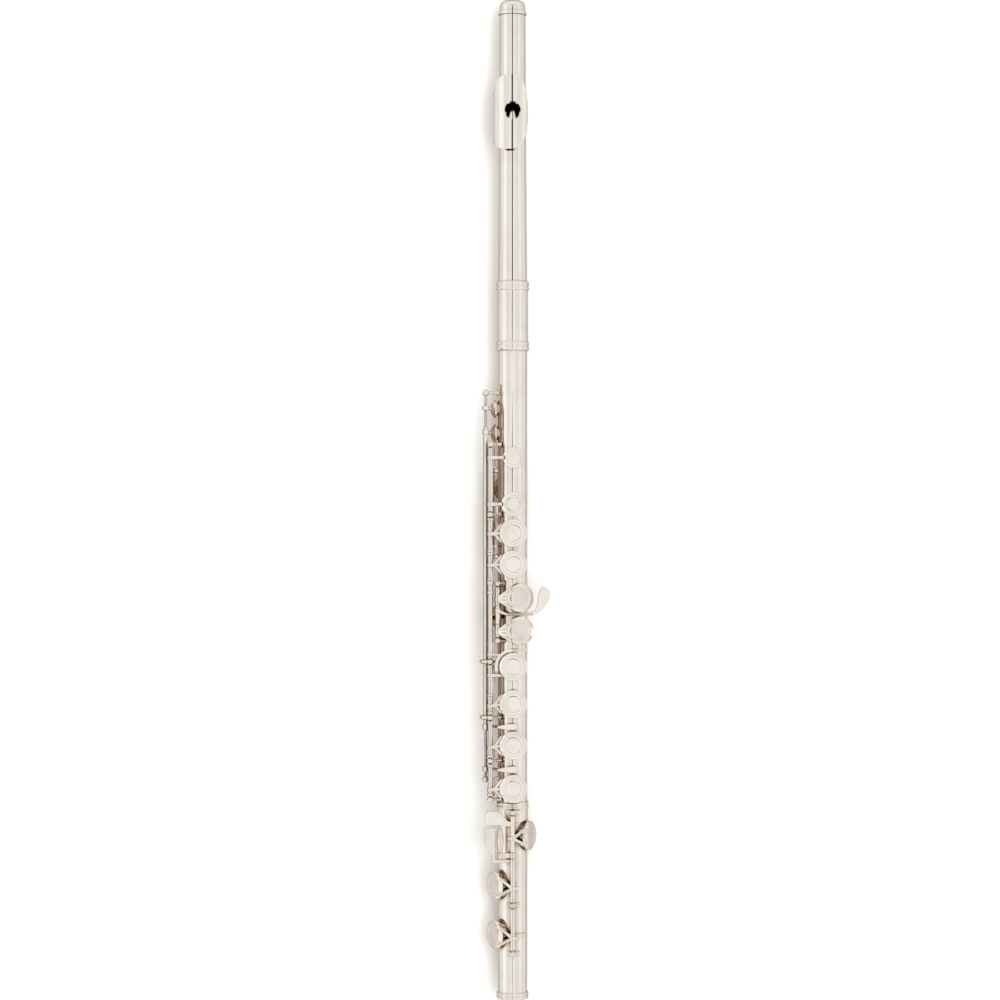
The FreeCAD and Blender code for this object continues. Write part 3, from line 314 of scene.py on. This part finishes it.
def make_cork(node, axis, hole, edge):
    """Cork turned about its axis, with softened edges and, if asked, a hole through its middle."""
    points = np.array([list(vert.co) for vert in nodes[node].data.vertices])
    centre = (points.max(axis=0) + points.min(axis=0)) / 2
    along = (points - centre) @ np.array(axis)
    across = points - centre - np.outer(along, axis)
    radius = np.sqrt((across ** 2).sum(axis=1)).max()
    high = (along.max() - along.min()) / 2
    turn = Vector((0, 0, 1)).rotation_difference(Vector(axis)).to_matrix().to_4x4()
    rim = [(radius - edge, -high), (radius - edge * 0.3, -high + edge * 0.3), (radius, -high + edge),
           (radius, high - edge), (radius - edge * 0.3, high - edge * 0.3), (radius - edge, high)]
    profile = [(hole, -high), *rim, (hole, high)]
    if hole:
        profile.append((hole, -high))
    piece = lathe(f"{node}_turned", profile, Matrix.Translation(Vector(centre)) @ turn, CORK, 64)
    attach(piece, body_holding(node))
    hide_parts(node)


TOUCH_AXIS = tuple(discs_of("touch_cork")[0][1])
make_cork("touch_cork", TOUCH_AXIS, 0.0, 0.25 * MM)
make_cork("stopper_cork", (1.0, 0.0, 0.0), 2.05 * MM, 0.5 * MM)


# ---- webs and screws ---------------------------------------------------------

CUP_RADIUS = 9.5 * MM
G_ROD = Vector((0, -10.1, 11.6)) * MM
OPEN_ANGLE = math.radians(8.0)
WING_Y = 5.6 * MM
WING_Z = 15.2 * MM
WING_STEPS = 6
WING_REACH = 0.72


def wing_web(name, node, along, hub):
    """Thin crowned web between the spread arms of a G key, open as the key stands."""
    swing = Matrix.Translation(G_ROD) @ Matrix.Rotation(OPEN_ANGLE, 4, "X") @ Matrix.Translation(-G_ROD)
    bm = bmesh.new()
    rows = []
    for step in range(-WING_STEPS, WING_STEPS + 1):
        reach = WING_REACH / WING_STEPS * step
        dip = math.sqrt(1 - reach * reach)
        tip = Vector((-along - CUP_RADIUS * reach, WING_Y - CUP_RADIUS * dip * 0.9, WING_Z - dip * 0.3 * MM))
        root = Vector((-hub - reach * 1.6 * MM, G_ROD.y + 0.8 * MM, G_ROD.z + 0.2 * MM))
        bottom = [root.lerp(tip, share) + Vector((0, 0, -0.5 * MM)) for share in (0.0, 0.5, 0.93)]
        top = [root.lerp(tip, share) + Vector((0, 0, 0.6 * MM)) for share in (0.93, 0.5, 0.0)]
        rows.append([bm.verts.new(swing @ point) for point in bottom + top])
    for left, right in zip(rows, rows[1:]):
        for here in range(6):
            after = (here + 1) % 6
            bm.faces.new((left[here], right[here], right[after], left[after]))
    bm.faces.new(rows[0])
    bm.faces.new(list(reversed(rows[-1])))
    bmesh.ops.recalc_face_normals(bm, faces=bm.faces)
    piece = new_object(name, bm, SILVER_KEYS)
    piece.modifiers.new("soft_edge", "BEVEL").width = 0.15 * MM
    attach(piece, body_holding(node))


wing_web("upper_g_web", "upper_g_key", 271.4 * MM, 270.5 * MM)
wing_web("lower_g_web", "lower_g_key", 249.3 * MM, 248.6 * MM)

# (post node, distance from the foot end, rod's y and z, outward direction along X)
PIVOTS = [("rod_posts", 374.5, -15.0, 11.5, -1), ("rod_posts", 135.8, -15.0, 11.5, 1),
          ("rod_posts", 409.5, -18.2, 8.0, -1), ("rod_posts", 149.0, -18.2, 8.0, 1),
          ("g_posts", 281.0, -10.1, 11.6, -1), ("g_posts", 242.7, -10.1, 11.6, 1),
          ("thumb_posts", 357.0, -14.0, -2.5, -1), ("thumb_posts", 299.0, -14.0, -2.5, 1)]
SCREW_RADIUS = 0.9 * MM
SCREW_DEPTH = 0.9 * MM
SCREW_PROUD = 1.55
SLOT_HALF = 0.14 * MM
SLOT_DEPTH = 0.3 * MM


def pivot_screw(name, node, along, y, z, side):
    """Slotted head of a pivot screw in the outer face of its post."""
    base = (-along + side * SCREW_PROUD) * MM
    bm = bmesh.new()
    bmesh.ops.create_cone(bm, cap_ends=True, segments=40, radius1=SCREW_RADIUS,
                          radius2=SCREW_RADIUS * 0.86, depth=SCREW_DEPTH)
    for slot_side in (1, -1):
        bmesh.ops.bisect_plane(bm, geom=bm.verts[:] + bm.edges[:] + bm.faces[:],
                               plane_co=(0, slot_side * SLOT_HALF, 0), plane_no=(0, slot_side, 0))
    top = SCREW_DEPTH / 2 - 1e-6
    middles = [(face, face.calc_center_median()) for face in bm.faces]
    slot = [face for face, middle in middles if abs(middle.y) < SLOT_HALF and middle.z > top]
    raised = bmesh.ops.extrude_discrete_faces(bm, faces=slot)["faces"]
    for face in raised:
        bmesh.ops.translate(bm, verts=face.verts, vec=(0, 0, -SLOT_DEPTH))
    bm.transform(Matrix.Translation((base, y * MM, z * MM)) @ Matrix.Rotation(side * math.pi / 2, 4, "Y"))
    piece = new_object(name, bm, STEEL, smooth=False)
    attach(piece, body_holding(node))


for index, (node, along, y, z, side) in enumerate(PIVOTS):
    pivot_screw(f"pivot_screw_{index}", node, along, y, z, side)


# ---- stage -------------------------------------------------------------------

def card(name, size, location, material, rotation=(0, 0, 0)):
    """Flat stage piece."""
    bm = bmesh.new()
    bmesh.ops.create_grid(bm, x_segments=1, y_segments=1, size=0.5)
    bm.transform(Matrix.Diagonal((size[0], size[1], 1, 1)))
    thing = new_object(name, bm, material, smooth=False)
    thing.location = location
    thing.rotation_euler = rotation
    return thing


def matt_with_painted_shadow(name, colour):
    """Plain matt stage material with a painted contact shadow: warmer and darker where the flute nearly
    meets it.
    """
    material, tree, shader, _ = new_material(name)
    # Painted shadow: brown where the flute is closest, the card's own colour further away.
    contact_shadow = tree.nodes.new("ShaderNodeAmbientOcclusion")
    contact_shadow.samples = 8
    contact_shadow.inputs["Distance"].default_value = 0.03
    stops = [(0.22, (0.34, 0.21, 0.15)), (0.42, (0.62, 0.52, 0.46)), (0.56, colour)]
    shade = ramp(tree, contact_shadow.outputs["AO"], stops)
    tree.links.new(shade, shader.inputs["Base Color"])
    shader.inputs["Roughness"].default_value = 0.9
    shader.inputs["Specular IOR Level"].default_value = 0.1
    return material


FLOOR_DROP = 0.0004
MIDDLE_X = (CAD_BOX[0][0] + CAD_BOX[1][0]) / 2
FLOOR_Z = CAD_BOX[0][2] - FLOOR_DROP
floor = card("floor", (8.0, 8.0), (MIDDLE_X, 0, FLOOR_Z), matt_with_painted_shadow("floor", (0.95, 0.95, 0.95)))


def painted_reflection_card(name, size, location, colour, rotation=(0, 0, 0)):
    """Glowing card that only reflections see: a painted reflection standing in for a studio flag outside the
    picture.
    """
    material, tree, shader, _ = new_material(name)
    shader.inputs["Base Color"].default_value = (0.0, 0.0, 0.0, 1.0)
    shader.inputs["Emission Color"].default_value = (*colour, 1.0)
    shader.inputs["Emission Strength"].default_value = 1.0
    thing = card(name, size, location, material, rotation)
    thing.visible_camera = False
    thing.visible_shadow = False
    thing.visible_diffuse = False
    return thing


# Near-black glowing card overhead: a painted dark reflection along the top of the metal.
painted_reflection_card("overhead_painted_dark_reflection", (1.8, 0.36), (MIDDLE_X, -0.07, 2.4), (0.012, 0.008, 0.006), (math.pi, 0, 0))

# Painted reflection: a glowing card over the floor that only reflections see, darker towards the flute as
# painted shade, as under a light tent.
PAINTED_FLOOR_REFLECTION_TONES = [(0.0, (0.30, 0.25, 0.22)), (0.035, (0.46, 0.41, 0.38)), (0.09, (0.60, 0.56, 0.53)),
               (0.25, (0.70, 0.66, 0.63)), (1.0, (0.82, 0.79, 0.76))]
FLOOR_REACH = 0.4


def shade_by_distance(thing, reach, tones):
    """Glow of a stage card that changes with the distance from its middle line."""
    tree = thing.active_material.node_tree
    split = tree.nodes.new("ShaderNodeSeparateXYZ")
    tree.links.new(tree.nodes.new("ShaderNodeTexCoord").outputs["Object"], split.inputs["Vector"])
    distance = tree.nodes.new("ShaderNodeMath")
    distance.operation = "ABSOLUTE"
    tree.links.new(split.outputs["Y"], distance.inputs[0])
    factor = spread(tree, distance.outputs["Value"], 0.0, 1.0, 0.0, reach)
    tree.links.new(ramp(tree, factor, tones), tree.nodes["Principled BSDF"].inputs["Emission Color"])


# A glowing white card on the player's side that only reflections see: a painted bright reflection on the
# tube's near flank.
painted_reflection_card("near_painted_bright_reflection", (1.8, 0.9), (MIDDLE_X, -1.3, 0.62), (1.0, 0.975, 0.955), (math.pi / 2, 0, 0))

# Painted reflected shade: glowing brown cards that only reflections see, one on the floor under the keys and
# one standing for the room behind them.
painted_reflection_card("rod_painted_reflected_shade", (0.275, 0.100), (-0.266, -0.060, FLOOR_Z + 0.0003), (0.20, 0.125, 0.09))
painted_reflection_card("room_painted_reflected_shade", (0.47, 0.44), (-0.212, -1.28, 0.20), (0.20, 0.125, 0.09), (math.pi / 2, 0, 0))

# Painted floor reflection, darker towards the flute.
floor_painted_reflection = painted_reflection_card("floor_painted_reflection", (1.6, 1.6), (MIDDLE_X, 0, FLOOR_Z + 0.0001), (0.6, 0.6, 0.6))
shade_by_distance(floor_painted_reflection, FLOOR_REACH, PAINTED_FLOOR_REFLECTION_TONES)


def soft_light(name, location, target, size, power, colour=(1, 1, 1)):
    """Large rectangular light aimed at a point."""
    data = bpy.data.lights.new(name, "AREA")
    data.shape = "RECTANGLE"
    data.size, data.size_y = size
    data.energy = power
    data.color = colour
    thing = bpy.data.objects.new(name, data)
    thing.location = location
    thing.rotation_euler = (Vector(target) - Vector(location)).to_track_quat("-Z", "Y").to_euler()
    thing.visible_glossy = False
    bpy.context.scene.collection.objects.link(thing)


TARGET = (MIDDLE_X, 0, 0)
soft_light("key_light", (MIDDLE_X, 0.9, 2.4), TARGET, (2.6, 1.2), 40.0)
soft_light("fill_light", (MIDDLE_X, -1.4, 2.2), TARGET, (2.4, 1.2), 8.0)

world = bpy.data.worlds.new("studio")
bpy.context.scene.world = world
world.use_nodes = True
sky = world.node_tree
direction = sky.nodes.new("ShaderNodeTexCoord").outputs["Generated"]
split = sky.nodes.new("ShaderNodeSeparateXYZ")
sky.links.new(direction, split.inputs["Vector"])
WORLD_STOPS = [(0.0, (0.62, 0.57, 0.52)), (0.10, (0.80, 0.75, 0.70)), (0.3, (0.97, 0.93, 0.88)),
               (0.5, (1.0, 0.97, 0.92)), (0.75, (0.86, 0.82, 0.77)), (0.92, (0.90, 0.87, 0.83)),
               (1.0, (1.0, 0.98, 0.95))]
sky.links.new(ramp(sky, split.outputs["Z"], WORLD_STOPS), sky.nodes["Background"].inputs["Color"])
sky.nodes["Background"].inputs["Strength"].default_value = 0.95

bpy.context.scene.view_settings.view_transform = "Standard"

# ---- camera ------------------------------------------------------------------

CAMERA_HEIGHT = 1.75
PICTURE_WIDTH = 0.677
PICTURE_MIDDLE = (-0.3372, -0.0085)
SENSOR = 36.0
camera_data = bpy.data.cameras.new("camera")
camera_data.sensor_width = SENSOR
camera_data.lens = SENSOR * CAMERA_HEIGHT / PICTURE_WIDTH
camera = bpy.data.objects.new("camera", camera_data)
camera.location = (*PICTURE_MIDDLE, CAMERA_HEIGHT)
camera.rotation_euler = (0, 0, math.pi / 2)
bpy.context.scene.collection.objects.link(camera)
bpy.context.scene.camera = camera
